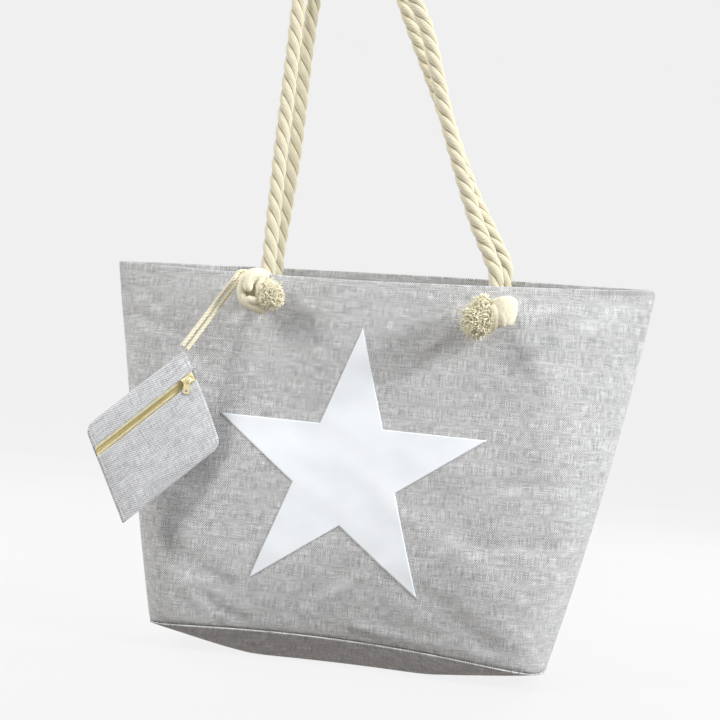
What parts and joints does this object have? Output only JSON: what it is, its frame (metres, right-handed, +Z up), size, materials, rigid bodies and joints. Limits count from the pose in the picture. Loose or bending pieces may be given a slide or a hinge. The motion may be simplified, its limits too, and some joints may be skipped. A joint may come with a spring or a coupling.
{
  "type": "beach bag",
  "caption": "Wide woven beach tote with a white star, knotted rope handles through eyelets, and a small zipped pouch hanging on a doubled cord.",
  "frame": {"origin": "middle of the flat patch under the base, on the floor", "axes": "-Y is the front with the star, +X is to the right seen from the front, +Z is up towards the handles"},
  "size_m": [0.572, 0.2238, 0.7683],
  "materials": {
    "bag_linen": "coarse grey melange linen-look weave",
    "pouch_linen": "finer grey melange weave",
    "lining": "thin plain-woven natural lining",
    "star_film": "smooth white transfer film on cloth",
    "cotton_rope": "three-strand twisted natural cotton",
    "strap_cord": "thin twisted natural cotton cord",
    "eyelet_metal": "satin nickel",
    "zip_tape": "cream twill tape",
    "zip_coil": "gold-coloured nylon coil",
    "zip_metal": "light brushed brass"
  },
  "bodies": {
    "bag": {"front_panel": "bag_linen", "back_panel": "bag_linen", "base_panel": "bag_linen", "front_facing": "bag_linen", "back_facing": "bag_linen", "front_lining": "lining", "back_lining": "lining", "base_lining": "lining", "star_print": "star_film", "front_left_eyelet": "eyelet_metal", "front_left_washer": "eyelet_metal", "front_left_knot": "cotton_rope", "front_left_tuft": "cotton_rope", "front_left_rope_end": "cotton_rope", "front_right_eyelet": "eyelet_metal", "front_right_washer": "eyelet_metal", "front_right_knot": "cotton_rope", "front_right_tuft": "cotton_rope", "front_right_rope_end": "cotton_rope", "back_left_eyelet": "eyelet_metal", "back_left_washer": "eyelet_metal", "back_left_knot": "cotton_rope", "back_left_tuft": "cotton_rope", "back_left_rope_end": "cotton_rope", "back_right_eyelet": "eyelet_metal", "back_right_washer": "eyelet_metal", "back_right_knot": "cotton_rope", "back_right_tuft": "cotton_rope", "back_right_rope_end": "cotton_rope", "strap_loop_upper": "strap_cord", "strap_loop_lower": "strap_cord"},
    "front_handle": {"front_handle_rope": "cotton_rope"},
    "back_handle": {"back_handle_rope": "cotton_rope"},
    "strap": {"strap_strand_upper": "strap_cord", "strap_strand_lower": "strap_cord"},
    "pouch": {"pouch_back": "pouch_linen", "pouch_front_upper": "pouch_linen", "pouch_front_lower": "pouch_linen", "zip_tape_upper": "zip_tape", "zip_tape_lower": "zip_tape", "zip_coil": "zip_coil"},
    "zip_slider": {"zip_slider": "zip_metal"},
    "zip_pull": {"zip_pull": "zip_metal"}
  },
  "joints": [
    {"name": "front_handle_fold", "type": "hinge", "parent": "bag", "child": "front_handle", "pos_m": [0, -0.0405, 0.3946], "axis": [1, 0, 0], "range_deg": [0, 105]},
    {"name": "back_handle_fold", "type": "hinge", "parent": "bag", "child": "back_handle", "pos_m": [0, 0.0382, 0.4104], "axis": [-1, 0, 0], "range_deg": [0, 105]},
    {"name": "strap_swing", "type": "hinge", "parent": "bag", "child": "strap", "pos_m": [-0.133, -0.062, 0.382], "axis": [0, -1, 0], "range_deg": [-24, 12]},
    {"name": "pouch_swing", "type": "hinge", "parent": "strap", "child": "pouch", "pos_m": [-0.1725, -0.094, 0.304], "axis": [0, -1, 0], "range_deg": [-40, 30]},
    {"name": "zip_slide", "type": "slide", "parent": "pouch", "child": "zip_slider", "axis": [-0.6829, -0.243, -0.6889], "range_m": [0, 0.104]},
    {"name": "zip_pull_flip", "type": "hinge", "parent": "zip_slider", "child": "zip_pull", "pos_m": [-0.16651, -0.09568, 0.2703], "axis": [-0.9303, -0.3668, 0], "range_deg": [0, 150]}
  ]
}
